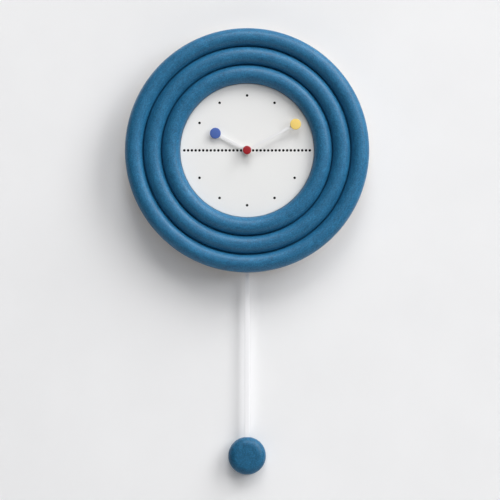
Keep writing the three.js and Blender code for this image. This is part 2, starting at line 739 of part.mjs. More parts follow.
const intermediatePhase = wheelPhase(
  TEETH.rotorPinion,
  ROTOR_ARBOR,
  TEETH.intermediateWheel,
  INTERMEDIATE_ARBOR,
);
const secondsPhase = wheelPhase(
  TEETH.intermediatePinion,
  INTERMEDIATE_ARBOR,
  TEETH.secondsWheel,
  CENTRE,
);
const thirdPhase = wheelPhase(TEETH.secondsPinion, CENTRE, TEETH.thirdWheel, THIRD_ARBOR);
const centrePhase = wheelPhase(TEETH.thirdPinion, THIRD_ARBOR, TEETH.centreWheel, CENTRE);

const rotor = join(
  arbor(REAR_SOCKET_END, FRONT_SOCKET_END, ROTOR_ARBOR_RADIUS),
  toothed("rotorPinion", MODULE.rotor),
  pin(ROTOR_MAGNET_RADIUS, ...LAYER.rotorMagnet),
);
const intermediateWheel = join(
  arbor(REAR_SOCKET_END, TRAIN_PLATE_FRONT - ARBOR_INSET),
  toothed("intermediateWheel", MODULE.rotor, intermediatePhase),
  toothed("intermediatePinion", MODULE.fast),
);
const secondsWheel = join(
  arbor(REAR_SOCKET_END, SECONDS_ARBOR_FRONT),
  toothed("secondsWheel", MODULE.fast, secondsPhase),
  toothed("secondsPinion", MODULE.third),
);
const thirdWheel = join(
  arbor(TRAIN_PLATE_BACK + ARBOR_INSET, FRONT_SOCKET_END),
  toothed("thirdWheel", MODULE.third, thirdPhase),
  toothed("thirdPinion", MODULE.centre),
);
const centreWheel = carve(
  join(
    toothed("centreWheel", MODULE.centre, centrePhase),
    pin(CENTRE_HUB_RADIUS, ...LAYER.centreHub),
  ),
  pin(CENTRE_BORE_RADIUS, 9, 11.2),
);

add(clock, "rotor", rotor, finish(0x3a3a3c, 0.4, 0.7), ROTOR_ARBOR.x, ROTOR_ARBOR.y);
const { x: intermediateX, y: intermediateY } = INTERMEDIATE_ARBOR;
add(clock, "intermediate_wheel", intermediateWheel, naturalPlastic(), intermediateX, intermediateY);
add(clock, "seconds_wheel", secondsWheel, naturalPlastic());
add(clock, "third_wheel", thirdWheel, naturalPlastic(), THIRD_ARBOR.x, THIRD_ARBOR.y);
add(clock, "centre_wheel", centreWheel, naturalPlastic());

// ---------------------------------------------------------------- motion work and setting knob

const minuteWheelPhase = wheelPhase(
  TEETH.cannonPinion,
  CENTRE,
  TEETH.minuteWheel,
  MINUTE_WHEEL_ARBOR,
);
const hourWheelPhase = wheelPhase(TEETH.minutePinion, MINUTE_WHEEL_ARBOR, TEETH.hourWheel, CENTRE);
const knobPhase = meshedPhase(
  minuteWheelPhase,
  TEETH.minuteWheel,
  MINUTE_WHEEL_ARBOR,
  TEETH.knobPinion,
  KNOB_ARBOR,
);

const MINUTE_ARBOR_RADIUS = 1.35;
const MINUTE_ARBOR_BACK = 9.3;
const MINUTE_ARBOR_FRONT = MINUTE_ARM_BACK + 2;
const HOUR_PIPE_RADIUS = 2.5;
const HOUR_PIPE_FRONT = HOUR_ARM_BACK + 1.3;
const HOUR_PIPE_ROOM = 0.35; // between the pipe and the minute arbor inside it
const STUD_ROOM = 0.2;
const KNOB_BACK = 1.2;
const KNOB_FRONT = KNOB_WELL_FLOOR - 0.3;
const KNOB_RIDGES = 24;
const KNOB_RIDGE_SIZE = 0.54;

const minuteArbor = join(
  pin(MINUTE_ARBOR_RADIUS, MINUTE_ARBOR_BACK, MINUTE_ARBOR_FRONT),
  toothed("cannonPinion", MODULE.minute),
);
const minuteWheel = carve(
  join(
    toothed("minuteWheel", MODULE.minute, minuteWheelPhase),
    toothed("minutePinion", MODULE.hour),
  ),
  pin(STUD.radius + STUD_ROOM, STUD.back - STUD_ROOM, 15),
);
const hourWheel = carve(
  join(
    toothed("hourWheel", MODULE.hour, hourWheelPhase),
    pin(HOUR_PIPE_RADIUS, LAYER.hourWheel[0], HOUR_PIPE_FRONT),
  ),
  pin(MINUTE_ARBOR_RADIUS + HOUR_PIPE_ROOM, 12, HOUR_PIPE_FRONT + 1),
);
const settingKnob = join(
  slab(gearOutline(KNOB_RIDGES, KNOB_RIDGE_SIZE, 0), KNOB_BACK, KNOB_FRONT),
  pin(KNOB_ARBOR_RADIUS, KNOB_FRONT - 0.7, KNOB_POST.boreFront - 0.3),
  toothed("knobPinion", MODULE.minute, knobPhase),
);

add(clock, "minute_arbor", minuteArbor, brass());
const { x: minuteWheelX, y: minuteWheelY } = MINUTE_WHEEL_ARBOR;
add(clock, "minute_wheel", minuteWheel, naturalPlastic(), minuteWheelX, minuteWheelY);
add(clock, "hour_wheel", hourWheel, brass());
add(clock, "setting_knob", settingKnob, blackPlastic(), KNOB_ARBOR.x, KNOB_ARBOR.y);

// ---------------------------------------------------------------- hands

// A hand points up: a round hub, a straight arm and a round pad that carries the button.
function handArm(length, boreRadius, back) {
  const half = ARM_WIDTH / 2;
  const hubTurn = Math.asin(half / HUB_RADIUS);
  const padTurn = Math.asin(half / PAD_RADIUS);
  const up = Math.PI / 2;
  const outline = [
    ...arc(HUB_RADIUS, up + hubTurn, up + 2 * Math.PI - hubTurn, 20),
    ...arc(PAD_RADIUS, padTurn - up, 3 * up - padTurn, 10, 0, length),
  ];
  return slab(outline, back, back + ARM_THICKNESS, [circle(boreRadius, SMALL_FLATS)]);
}

// A button: a flat disc with a small rounded front edge.
function button(radius, back, front) {
  const edge = 0.5;
  const profile = [
    [0, back],
    [radius, back],
    [radius, front - edge],
    [radius - edge, front],
    [0, front],
  ];
  return turned(profile, 24);
}

function hand(clockwiseDegrees) {
  const group = new THREE.Group();
  group.rotation.z = -THREE.MathUtils.degToRad(clockwiseDegrees);
  clock.add(group);
  return group;
}

const BORE_ROOM = 0.15;
const hourHand = hand(HOUR_DEGREES);
const hourArm = handArm(HOUR_ARM_LENGTH, HOUR_PIPE_RADIUS + BORE_ROOM, HOUR_ARM_BACK);
const hourButtonBack = HOUR_ARM_BACK + ARM_THICKNESS + SEAT_GAP;
const hourButton = button(BUTTON_RADIUS, hourButtonBack, HOUR_BUTTON_FRONT);
add(hourHand, "hour_hand", hourArm, whiteEnamel());
add(hourHand, "hour_button", hourButton, finish(0x4a66a6, 0.6), 0, HOUR_ARM_LENGTH);

const minuteHand = hand(MINUTE_DEGREES);
const minuteArm = handArm(MINUTE_ARM_LENGTH, MINUTE_ARBOR_RADIUS + BORE_ROOM, MINUTE_ARM_BACK);
const minuteButtonBack = MINUTE_ARM_BACK + ARM_THICKNESS + SEAT_GAP;
const minuteButton = button(BUTTON_RADIUS, minuteButtonBack, MINUTE_BUTTON_FRONT);
add(minuteHand, "minute_hand", minuteArm, whiteEnamel());
add(minuteHand, "minute_button", minuteButton, finish(0xf0d070, 0.6), 0, MINUTE_ARM_LENGTH);

const capSocketRadius = MINUTE_ARBOR_RADIUS + BORE_ROOM;
const capSocket = pin(capSocketRadius, minuteButtonBack - 1, MINUTE_ARBOR_FRONT + 0.4);
const cap = carve(button(CAP_RADIUS, minuteButtonBack, CAP_FRONT), capSocket);
add(minuteHand, "centre_cap", cap, finish(0xb01f2e, 0.5));

// ---------------------------------------------------------------- pendulum

function pivotPin() {
  const headRadius = 2.2;
  const headFront = LEVER_BACK - 0.3;
  const headBack = headFront - 0.8;
  const profile = [
    [0, headBack],
    [headRadius, headBack],
    [headRadius, headFront],
    [PIVOT_PIN_RADIUS, headFront],
    [PIVOT_PIN_RADIUS, PIVOT_PIN_FRONT],
    [0, PIVOT_PIN_FRONT],
  ];
  return turned(profile).translate(0, PIVOT_Y, 0);
}

// The lever hangs on the pivot pin, carries the drive magnet and ends in a peg for the rod.
const LEVER_WIDTH = 5.6;
const MAGNET_RADIUS = 4.5;
const PEG_RADIUS = 1.2;

function lever() {
  const half = LEVER_WIDTH / 2;
  const end = HOOK_Y - 3;
  const pivotEye = 4;
  const magnetRim = 6.4;
  const past = 1;
  const blank = join(
    pin(pivotEye, LEVER_BACK, LEVER_FRONT, 0, PIVOT_Y, 16),
    block(-half, half, end, PIVOT_Y, LEVER_BACK, LEVER_FRONT),
    pin(magnetRim, LEVER_BACK, LEVER_FRONT, 0, MAGNET_Y, 20),
    pin(PEG_RADIUS, LEVER_BACK + 0.5, ROD_FRONT + 1.1, 0, HOOK_Y),
  );
  return carve(
    blank,
    pin(PIVOT_PIN_RADIUS + 0.2, LEVER_BACK - past, LEVER_FRONT + past, 0, PIVOT_Y),
    pin(MAGNET_RADIUS + 0.15, LEVER_BACK - past, LEVER_FRONT + past, 0, MAGNET_Y, 20),
  );
}

const ROD_END_Y = BOB_Y + 5;
const BOB_SCREW_BACK = 3.2;
const BOB_SCREW = { head: 2.4, headHeight: 1.3, shank: 1.1, tip: 13 };

function rod() {
  const eyeRadius = 4.3;
  const half = ROD_WIDTH / 2;
  const turn = Math.asin(half / eyeRadius);
  const outline = [
    ...arc(eyeRadius, turn - Math.PI / 2, (3 * Math.PI) / 2 - turn, 14, 0, HOOK_Y),
    new THREE.Vector2(-half, ROD_END_Y),
    new THREE.Vector2(half, ROD_END_Y),
  ];
  const room = 0.3;
  const pegHole = circle(PEG_RADIUS + room, SMALL_FLATS, 0, HOOK_Y);
  const screwHole = circle(BOB_SCREW.shank + room, HOLE_FLATS, 0, BOB_SCREW_Y);
  return slab(outline, ROD_BACK, ROD_FRONT, [pegHole, screwHole]);
}

// The bob is a turned wooden disc, rounded more in front than behind.
function bob() {
  const front = BOB_FRONT_ROUNDING;
  const back = BOB_BACK_ROUNDING;
  const steps = 6;
  const quarter = Math.PI / 2;
  const rear = arc(back, -quarter, 0, steps - 2, BOB_RADIUS - back, BOB_BACK + back);
  const face = arc(front, 0, quarter, steps, BOB_RADIUS - front, BOB_FRONT - front);
  const profile = [
    [0, BOB_BACK],
    ...[...rear, ...face].map(({ x, y }) => [x, y]),
    [0, BOB_FRONT],
  ];
  const room = 0.2;
  const past = 1;
  const half = ROD_WIDTH / 2 + room;
  const slotHeights = [ROD_END_Y - 2 * room, BOB_Y + BOB_RADIUS + past];
  const wellFloor = BOB_SCREW_BACK + BOB_SCREW.headHeight + 0.1;
  const pilot = { radius: BOB_SCREW.shank + 0.25, end: BOB_SCREW.tip + 0.4 };
  return carve(
    turned(profile, BOB_FLATS).translate(0, BOB_Y, 0),
    block(-half, half, ...slotHeights, ROD_BACK - room, ROD_FRONT + room),
    pin(BOB_SCREW.head + 0.4, BOB_BACK - past, wellFloor, 0, BOB_SCREW_Y),
    pin(pilot.radius, BOB_BACK - past, pilot.end, 0, BOB_SCREW_Y, HOLE_FLATS),
  );
}

add(clock, "pendulum_pivot_pin", pivotPin(), steel());
add(clock, "pendulum_lever", lever(), naturalPlastic());
const magnet = pin(MAGNET_RADIUS, LEVER_BACK, MAGNET_FRONT, 0, 0, 20);
add(clock, "lever_magnet", magnet, steel(), 0, MAGNET_Y);
add(clock, "pendulum_rod", rod(), whiteEnamel());
add(clock, "pendulum_bob", bob(), paintedRing());
add(clock, "bob_screw", screw(BOB_SCREW_BACK, BOB_SCREW), steel(), 0, BOB_SCREW_Y);

export default clock;
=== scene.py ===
import math

import bmesh
import bpy
from mathutils import Matrix, Vector


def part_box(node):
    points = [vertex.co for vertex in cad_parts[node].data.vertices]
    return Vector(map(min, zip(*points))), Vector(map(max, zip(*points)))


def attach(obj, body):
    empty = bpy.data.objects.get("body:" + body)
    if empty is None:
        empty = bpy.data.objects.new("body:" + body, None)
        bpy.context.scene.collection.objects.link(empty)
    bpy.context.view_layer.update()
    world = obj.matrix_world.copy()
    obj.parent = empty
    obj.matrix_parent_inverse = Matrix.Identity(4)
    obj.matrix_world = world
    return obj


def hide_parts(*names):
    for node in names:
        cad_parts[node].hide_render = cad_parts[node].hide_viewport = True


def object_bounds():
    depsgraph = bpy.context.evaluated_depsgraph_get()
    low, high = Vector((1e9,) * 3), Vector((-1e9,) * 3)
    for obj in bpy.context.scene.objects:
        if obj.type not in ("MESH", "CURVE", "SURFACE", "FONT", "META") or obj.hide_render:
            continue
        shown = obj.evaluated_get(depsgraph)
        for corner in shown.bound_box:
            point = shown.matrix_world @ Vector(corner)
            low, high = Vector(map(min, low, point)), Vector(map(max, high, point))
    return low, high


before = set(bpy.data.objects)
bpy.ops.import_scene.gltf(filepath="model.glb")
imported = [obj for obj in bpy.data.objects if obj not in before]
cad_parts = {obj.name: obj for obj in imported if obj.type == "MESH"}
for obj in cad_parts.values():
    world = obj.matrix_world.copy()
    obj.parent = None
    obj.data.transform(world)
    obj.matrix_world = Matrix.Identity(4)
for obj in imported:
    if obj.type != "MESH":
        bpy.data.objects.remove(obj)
cad_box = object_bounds()

# Everything is in metres, in the frame of the CAD model: the wall is the plane y = 0, the clock
# stands off it towards -y, x is to the viewer's right and z is up. A "depth" is -y.

MM = 0.001
SMOOTH_BELOW = math.radians(32)  # edges that bend by less than this are shaded smooth
BEVEL_ABOVE = 1.2  # edges of a slab that bend by more than this, in radians, are bevelled
BEVEL_STEPS = 2


# ---------------------------------------------------------------- sizes read from the frame

def middle(node):
    """The middle of a CAD node's box."""
    low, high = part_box(node)
    return (low + high) / 2


def depths(node):
    """(back, front): how far a node's rearmost and foremost points stand off the wall."""
    low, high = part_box(node)
    return -high.y, -low.y


def radius_of(node):
    """Half the width of a round CAD node."""
    low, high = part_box(node)
    return (high.x - low.x) / 2


HANDS = middle("ring_outer")
RING_BACK, RING_FRONT = depths("ring_outer")
BAR_PITCH = radius_of("ring_outer") - radius_of("ring_middle")
BAR_RADIUS = BAR_PITCH / 2 - 0.05 * MM
BAR_DEPTH = RING_FRONT - BAR_RADIUS
DIAL_BACK, DIAL_FRONT = depths("dial_plate")
BOB = middle("pendulum_bob")
BOB_RADIUS = radius_of("pendulum_bob")


def hand_angle(button_node):
    """How far a hand is turned clockwise from twelve at rest, from where its button is."""
    reach = middle(button_node) - HANDS
    return math.atan2(reach.x, reach.z)


def hand_length(button_node):
    """How far a button's middle is from the axis of the hands."""
    reach = middle(button_node) - HANDS
    return math.hypot(reach.x, reach.z)


# ---------------------------------------------------------------- mesh building

def arc(radius, start, end, steps, across=0.0, along=0.0):
    """Points of an arc in a profile or an outline; angles in degrees."""
    angles = [math.radians(start + (end - start) * i / steps) for i in range(steps + 1)]
    return [(across + radius * math.cos(a), along + radius * math.sin(a)) for a in angles]


def rounded_box(left, right, bottom, top, corner, steps=8):
    """An outline with four round corners."""
    middles = [(right - corner, top - corner, 0), (left + corner, top - corner, 90),
               (left + corner, bottom + corner, 180), (right - corner, bottom + corner, 270)]
    return [p for x, z, start in middles for p in arc(corner, start, start + 90, steps, x, z)]


def add_object(name, data):
    """A new object in the scene that shows a mesh, a light or a camera."""
    made = bpy.data.objects.new(name, data)
    bpy.context.scene.collection.objects.link(made)
    return made


def shade(mesh):
    """Smooth shading, except across the edges that bend sharply."""
    mesh.shade_smooth()
    mesh.set_sharp_from_angle(angle=SMOOTH_BELOW)


def new_piece(name, vertices, faces):
    """A mesh object with outward faces and no doubled points."""
    mesh = bpy.data.meshes.new(name)
    mesh.from_pydata(vertices, [], faces)
    work = bmesh.new()
    work.from_mesh(mesh)
    bmesh.ops.remove_doubles(work, verts=work.verts, dist=1e-7)
    bmesh.ops.recalc_face_normals(work, faces=work.faces)
    work.to_mesh(mesh)
    work.free()
    shade(mesh)
    return add_object(name, mesh)


def turned(name, profile, steps, centre, closed=False):
    """A piece turned about an axis that stands out of the wall, from (radius, depth) points."""
    rings = []
    vertices = []
    for radius, depth in profile:
        if radius < 1e-9:
            rings.append([len(vertices)] * steps)
            vertices.append((centre.x, -depth, centre.z))
            continue
        rings.append(list(range(len(vertices), len(vertices) + steps)))
        for i in range(steps):
            turn = 2 * math.pi * i / steps
            x = centre.x + radius * math.sin(turn)
            z = centre.z + radius * math.cos(turn)
            vertices.append((x, -depth, z))
    pairs = list(zip(rings, rings[1:]))
    if closed:
        pairs.append((rings[-1], rings[0]))
    faces = []
    for low, high in pairs:
        for i in range(steps):
            j = (i + 1) % steps
            corners = [low[i], low[j], high[j], high[i]]
            face = [c for k, c in enumerate(corners) if c != corners[k - 1]]
            if len(face) > 2:
                faces.append(face)
    return new_piece(name, vertices, faces)


def slab(name, outline, back, front, centre, holes=(), bevel=0.0):
    """A flat piece between two depths, with bevelled edges. Outlines are (x, z) about a centre."""
    work = bmesh.new()
    edges = []
    for loop in [outline, *holes]:
        corners = [work.verts.new((centre.x + x, -back, centre.z + z)) for x, z in loop]
        edges += [work.edges.new((a, b)) for a, b in zip(corners, corners[1:] + corners[:1])]
    filled = bmesh.ops.triangle_fill(work, use_beauty=True, use_dissolve=True, edges=edges)
    faces = [g for g in filled["geom"] if isinstance(g, bmesh.types.BMFace)]
    pushed = bmesh.ops.extrude_face_region(work, geom=faces)
    moved = [g for g in pushed["geom"] if isinstance(g, bmesh.types.BMVert)]
    bmesh.ops.translate(work, verts=moved, vec=(0, back - front, 0))
    bmesh.ops.recalc_face_normals(work, faces=work.faces)
    if bevel:
        inner = [e for e in work.edges if len(e.link_faces) == 2]
        rims = [e for e in inner if e.calc_face_angle() > BEVEL_ABOVE]
        bmesh.ops.bevel(
            work, geom=rims, offset=bevel, segments=BEVEL_STEPS, profile=0.5, affect="EDGES"
        )
    mesh = bpy.data.meshes.new(name)
    work.to_mesh(mesh)
    work.free()
    shade(mesh)
    piece = add_object(name, mesh)
    if bevel:
        piece.modifiers.new("flat_faces", "WEIGHTED_NORMAL").keep_sharp = True
    return piece


def place(piece, body, slot, material, *nodes):
    """A finished piece: it rides on a body, has a material, and stands for CAD nodes."""
    piece.data.materials.append(material)
    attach(piece, body)
    if nodes:
        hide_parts(*nodes)
    return piece


# ---------------------------------------------------------------- materials

class Nodes:
    """A material's node tree, with short ways to add and join nodes."""

    def __init__(self, name):
        self.material = bpy.data.materials.new(name)
        self.material.use_nodes = True
        self.tree = self.material.node_tree
        self.shader = self.tree.nodes["Principled BSDF"]

    def add(self, kind, settings=None, **inputs):
        node = self.tree.nodes.new(kind)
        for key, value in (settings or {}).items():
            setattr(node, key, value)
        for key, value in inputs.items():
            self.put(node.inputs[key.replace("_", " ")], value)
        return node

    def put(self, socket, value):
        if isinstance(value, bpy.types.NodeSocket):
            self.tree.links.new(value, socket)
        else:
            socket.default_value = value

    def math(self, operation, first, second=0.0):
        node = self.tree.nodes.new("ShaderNodeMath")
        node.operation = operation
        self.put(node.inputs[0], first)
        self.put(node.inputs[1], second)
        return node.outputs[0]

    def position(self):
        return self.add("ShaderNodeTexCoord").outputs["Object"]

    def stretched(self, vector, scale):
        return self.add("ShaderNodeMapping", Vector=vector, Scale=scale).outputs[0]

    def noise(self, vector, scale, detail=3.0, roughness=0.55):
        node = self.add(
            "ShaderNodeTexNoise", Vector=vector, Scale=scale, Detail=detail, Roughness=roughness
        )
        return node.outputs[0]

    def ramp(self, factor, *stops):
        """Colours or greys at places from 0 to 1."""
        node = self.add("ShaderNodeValToRGB", Fac=factor)
        band = node.color_ramp
        while len(band.elements) < len(stops):
            band.elements.new(0.5)
        for element, (place_at, colour) in zip(band.elements, stops):
            element.position = place_at
            rgb = colour if isinstance(colour, tuple) else (colour,) * 3
            element.color = (*rgb, 1.0)
        return node.outputs[0]

    def mix(self, factor, first, second, blend="MIX"):
        """A mix of two colours. The node's sockets 6 and 7 and output 2 are those for colours."""
        node = self.tree.nodes.new("ShaderNodeMix")
        node.data_type = "RGBA"
        node.blend_type = blend
        self.put(node.inputs["Factor"], factor)
        for socket, value in ((node.inputs[6], first), (node.inputs[7], second)):
            self.put(socket, (*value, 1.0) if isinstance(value, tuple) else value)
        return node.outputs[2]

    def bump(self, height, strength, distance):
        node = self.add("ShaderNodeBump", Height=height, Strength=strength, Distance=distance)
        self.put(self.shader.inputs["Normal"], node.outputs[0])

    def set(self, **inputs):
        for key, value in inputs.items():
            value = (*value, 1.0) if isinstance(value, tuple) and len(value) == 3 else value
            self.put(self.shader.inputs[key.replace("_", " ")], value)
        return self.material


def srgb(code):
    """The linear colour of a six-digit hexadecimal screen colour."""
    parts = [int(code[i : i + 2], 16) / 255 for i in (0, 2, 4)]
    return tuple(p / 12.92 if p <= 0.04045 else ((p + 0.055) / 1.055) ** 2.4 for p in parts)


def round_noise(n, along, across, detail=3.0, roughness=0.55):
    """Noise drawn out round the rings: so many features a radian along the bar, a metre across."""
    from_hands = n.add("ShaderNodeVectorMath", {"operation": "SUBTRACT"})
    n.put(from_hands.inputs[0], n.position())
    from_hands.inputs[1].default_value = HANDS
    flat = n.add("ShaderNodeVectorMath", {"operation": "MULTIPLY"})
    n.put(flat.inputs[0], from_hands.outputs[0])
    flat.inputs[1].default_value = (1, 0, 1)
    reach = n.add("ShaderNodeVectorMath", {"operation": "LENGTH"})
    n.put(reach.inputs[0], flat.outputs[0])
    turn = n.add("ShaderNodeVectorMath", {"operation": "NORMALIZE"})
    n.put(turn.inputs[0], flat.outputs[0])
    split = n.add("ShaderNodeSeparateXYZ", Vector=turn.outputs[0])
    depth = n.add("ShaderNodeSeparateXYZ", Vector=n.position()).outputs[1]
    place_at = n.add(
        "ShaderNodeCombineXYZ",
        X=n.math("MULTIPLY", split.outputs[0], along),
        Y=n.math("MULTIPLY", split.outputs[2], along),
        Z=n.math("MULTIPLY", reach.outputs["Value"], across),
    )
    noise = n.add(
        "ShaderNodeTexNoise",
        {"noise_dimensions": "4D"},
        Vector=place_at.outputs[0],
        W=n.math("MULTIPLY", depth, across),
        Detail=detail,
        Roughness=roughness,
        Scale=1.0,
    )
    return noise.outputs[0]


def blue_wood(name, painted_shade_scale=1.0, turned_round=True, gloss=0.32):
    """Blue stain on turned wood: short fine fibres along the bar, pale specks and a satin coat."""
    n = Nodes(name)
    if turned_round:
        fibres = round_noise(n, 22.0, 520.0, 4.0, 0.62)
        blotches = round_noise(n, 9.0, 110.0, 3.0, 0.5)
    else:
        fibres = n.noise(n.stretched(n.position(), (420, 420, 190)), 1.0, 4.0, 0.62)
        blotches = n.noise(n.stretched(n.position(), (110, 110, 90)), 1.0, 3.0, 0.5)
    specks = n.noise(n.position(), 720.0, 3.0, 0.6)
    shades = [(0.0170, 0.129, 0.262), (0.0200, 0.144, 0.287), (0.0240, 0.160, 0.312)]
    # A scale below 1 darkens every shade of the stain: painted shade, giving a darker copy of the
    # same stain.
    deep, mid, pale = [tuple(channel * painted_shade_scale for channel in one) for one in shades]
    stain = n.ramp(blotches, (0.3, deep), (0.5, mid), (0.72, pale))
    grain = n.ramp(fibres, (0.32, 0.36), (0.52, 0.5), (0.74, 0.66))
    colour = n.mix(0.7, stain, grain, "OVERLAY")
    dust = n.ramp(specks, (0.36, 0.34), (0.52, 0.5), (0.67, 0.72))
    colour = n.mix(0.7, colour, dust, "OVERLAY")
    rough = n.ramp(fibres, (0.2, 0.36), (0.8, 0.5))
    height = n.math("ADD", n.math("MULTIPLY", fibres, 0.6), n.math("MULTIPLY", specks, 0.4))
    n.bump(height, 0.35, 0.0004)
    return n.set(Base_Color=colour, Roughness=rough, Specular_IOR_Level=gloss)


def dial_paint():
    """Matte white card: almost smooth, with the faintest tooth."""
    n = Nodes("dial_paint")
    tooth = n.noise(n.position(), 2600.0, 3.0, 0.6)
    colour = n.ramp(tooth, (0.3, srgb("ebebea")), (0.7, srgb("f0f0ef")))
    n.bump(tooth, 0.08, 0.00008)
    return n.set(Base_Color=colour, Roughness=0.82, Specular_IOR_Level=0.3)


def lacquer(name, code, roughness=0.42, gloss=0.5):
    """Sprayed lacquer: an even colour with faint orange peel."""
    n = Nodes(name)
    peel = n.noise(n.position(), 900.0, 2.0, 0.5)
    tone = n.ramp(n.noise(n.position(), 160.0, 2.0), (0.3, 0.47), (0.7, 0.53))
    colour = n.mix(0.3, srgb(code), tone, "OVERLAY")
    rough = n.ramp(peel, (0.3, roughness - 0.05), (0.7, roughness + 0.06))
    n.bump(peel, 0.1, 0.00006)
    return n.set(Base_Color=colour, Roughness=rough, Specular_IOR_Level=gloss)


def ink():
    """Matte black printing ink with a faintly uneven spread."""
    n = Nodes("dial_ink")
    spread = n.noise(n.position(), 3000.0, 2.0)
    colour = n.ramp(spread, (0.3, srgb("050506")), (0.7, srgb("0d0d0f")))
    return n.set(Base_Color=colour, Roughness=0.8, Specular_IOR_Level=0.2)


def plywood():
    """Birch board: long wavy grain across its faces, and thin layers at its darker sawn edges."""
    n = Nodes("birch_board")
    wave = n.noise(n.stretched(n.position(), (4, 60, 60)), 1.0, 3.0, 0.55)
    fine = n.noise(n.stretched(n.position(), (40, 900, 900)), 1.0, 4.0, 0.6)
    base = n.ramp(wave, (0.3, srgb("bda582")), (0.52, srgb("cdb896")), (0.7, srgb("dbcaab")))
    grain = n.ramp(fine, (0.3, 0.4), (0.7, 0.58))
    colour = n.mix(0.6, base, grain, "OVERLAY")
    depth = n.add("ShaderNodeSeparateXYZ", Vector=n.position()).outputs[1]
    layer = n.math("PINGPONG", n.math("MULTIPLY", depth, 770.0), 1.0)
    normal = n.add("ShaderNodeNewGeometry").outputs["Normal"]
    facing = n.add("ShaderNodeSeparateXYZ", Vector=normal)
    edge = n.math("LESS_THAN", n.math("ABSOLUTE", facing.outputs[1]), 0.5)
    dark_layer = n.math("GREATER_THAN", layer, 0.55)
    dark = n.math("MULTIPLY", dark_layer, n.math("MULTIPLY", edge, 0.45))
    colour = n.mix(n.math("MULTIPLY", edge, 0.7), colour, srgb("6b5138"))
    colour = n.mix(dark, colour, srgb("4d3824"))
    n.bump(fine, 0.2, 0.0003)
    return n.set(Base_Color=colour, Roughness=0.66)


def moulded(name, code, roughness=0.5):
    """Moulded plastic with a fine spark-eroded texture."""
    n = Nodes(name)
    texture = n.noise(n.position(), 2200.0, 2.0, 0.6)
    broad = n.noise(n.position(), 90.0, 2.0, 0.5)
    tone = n.ramp(broad, (0.3, 0.46), (0.7, 0.54))
    colour = n.mix(0.5, srgb(code), tone, "OVERLAY")
    rough = n.ramp(broad, (0.3, roughness - 0.06), (0.7, roughness + 0.06))
    n.bump(texture, 0.22, 0.0001)
    return n.set(Base_Color=colour, Roughness=rough)


def metal(name, code, roughness, direction=(30, 900, 900)):
    """Rolled or turned metal with fine lines one way and faint smudges."""
    n = Nodes(name)
    lines = n.noise(n.stretched(n.position(), direction), 1.0, 3.0, 0.6)
    smudge = n.noise(n.position(), 120.0, 3.0, 0.5)
    tone = n.ramp(smudge, (0.3, 0.44), (0.7, 0.56))
    colour = n.mix(0.5, srgb(code), tone, "OVERLAY")
    rough = n.ramp(lines, (0.25, roughness - 0.08), (0.75, roughness + 0.12))
    n.bump(lines, 0.12, 0.00005)
    return n.set(Base_Color=colour, Metallic=1.0, Roughness=rough)


def winding():
    """Enamelled copper wire in close turns."""
    n = Nodes("copper_winding")
    wire = n.add("ShaderNodeTexWave", {"bands_direction": "X"}, Vector=n.position(), Scale=900.0)
    colour = n.ramp(wire.outputs[1], (0.1, srgb("5d2a12")), (0.7, srgb("c06a33")))
    n.bump(wire.outputs[1], 0.6, 0.0001)
    return n.set(Base_Color=colour, Metallic=0.8, Roughness=0.32)


def rubber():
    """Dull black rubber with a fine grit."""
    n = Nodes("seal_rubber")
    grit = n.noise(n.position(), 1800.0, 3.0, 0.6)
    colour = n.ramp(grit, (0.3, srgb("1b1b1b")), (0.7, srgb("2c2c2c")))
    n.bump(grit, 0.25, 0.0001)
    return n.set(Base_Color=colour, Roughness=0.85)


def board():
    """Solder mask over faint tracks."""
    n = Nodes("circuit_board")
    place_at = n.stretched(n.position(), (260, 260, 260))
    tracks = n.add("ShaderNodeTexBrick", Vector=place_at, Scale=1.0)
    colour = n.mix(tracks.outputs["Fac"], srgb("1f5a33"), srgb("3d8f57"))
    return n.set(Base_Color=colour, Roughness=0.35)


def cell_wrap(low_x, high_x):
    """A plain shrink sleeve: dark with a pale band, and bare metal at both ends."""
    n = Nodes("battery_sleeve")
    along = n.add("ShaderNodeSeparateXYZ", Vector=n.position()).outputs[0]
    share = n.add("ShaderNodeMapRange", Value=along)
    share.inputs["From Min"].default_value = low_x
    share.inputs["From Max"].default_value = high_x
    steel, sleeve, band = srgb("b9bbbe"), srgb("2f6f73"), srgb("d7dcd9")
    colour = n.ramp(
        share.outputs[0], (0.0, steel), (0.035, sleeve), (0.7, band), (0.78, sleeve), (0.965, steel)
    )
    colour.node.color_ramp.interpolation = "CONSTANT"
    scuff = n.noise(n.position(), 400.0, 3.0)
    rough = n.ramp(scuff, (0.3, 0.22), (0.7, 0.34))
    return n.set(Base_Color=colour, Metallic=0.35, Roughness=rough)


RING_FINISH = blue_wood("blue_stain")
# The bob's stain is the rings' stain at 80%: painted shade for the weaker light on the bob, not a
# different finish. Its lower gloss is a real reflectance setting.
BOB_SHADED_STAIN = blue_wood("blue_stain_bob_painted_shade", painted_shade_scale=0.8, turned_round=False, gloss=0.24)
DIAL_FINISH = dial_paint()
HAND_WHITE = lacquer("hand_lacquer", "eaeaeb", 0.6, 0.2)
ROD_WHITE = lacquer("rod_lacquer", "f8f8fa", 0.6, 0.15)
BIRCH = plywood()
BLACK = moulded("black_plastic", "28282b")
NYLON = moulded("natural_nylon", "e4dfd0", 0.38)
STEEL = metal("bright_steel", "a9abad", 0.34)
DARK_STEEL = metal("magnet_steel", "57585b", 0.4)
BRASS = metal("brass", "c9a552", 0.3)
COPPER = winding()
RUBBER = rubber()
BOARD = board()

# ---------------------------------------------------------------- rings

ROUND_STEPS = 288
BAR_STEPS = 44
EASED_TURN = 3  # degrees of the bar's round that its eased back edge takes
EASED_FLAT = 0.5 * MM


